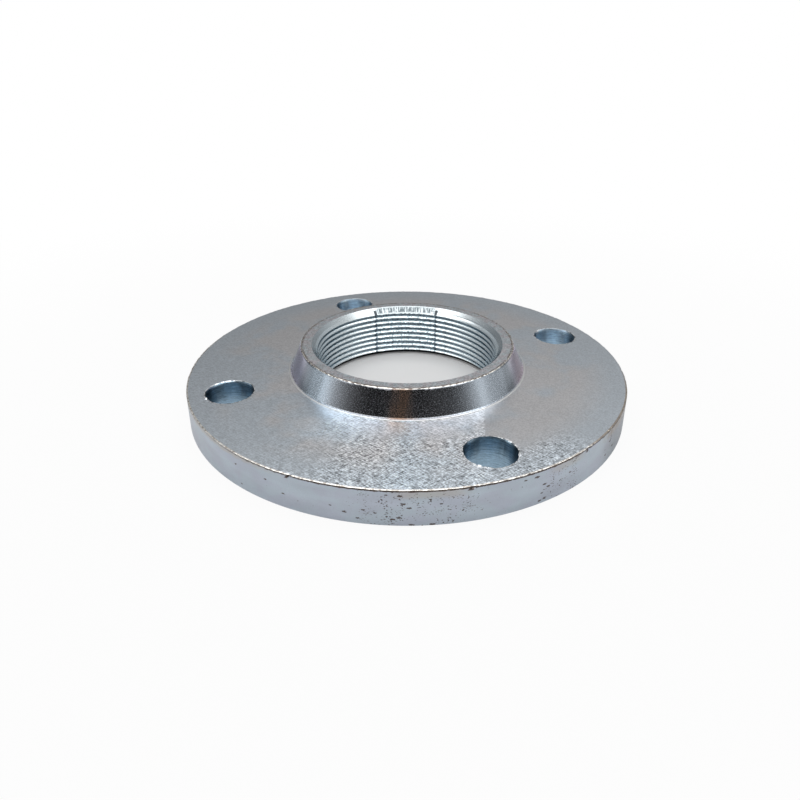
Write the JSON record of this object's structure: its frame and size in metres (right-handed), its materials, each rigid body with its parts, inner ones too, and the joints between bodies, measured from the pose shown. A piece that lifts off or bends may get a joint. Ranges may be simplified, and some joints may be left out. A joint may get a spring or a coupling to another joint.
{
  "type": "threaded flange",
  "caption": "Round steel flange that screws onto a pipe: a drilled bolting plate with a short tapered hub round a threaded bore.",
  "frame": {"origin": "centre of the bore on the flat mating face, which is the underside", "axes": "+Z along the bore, from the mating face out through the hub, on the side where the pipe screws in; +X and +Y lie midway between the bolt holes"},
  "size_m": [0.176, 0.176, 0.023],
  "materials": {
    "zinc_plated_steel": "bright zinc plating with a bluish passivate over turned and drilled steel, with fine tool grain, small rust pits on the rim and raised burrs at the edges"
  },
  "bodies": {
    "root": {"flange": "zinc_plated_steel"}
  },
  "joints": []
}
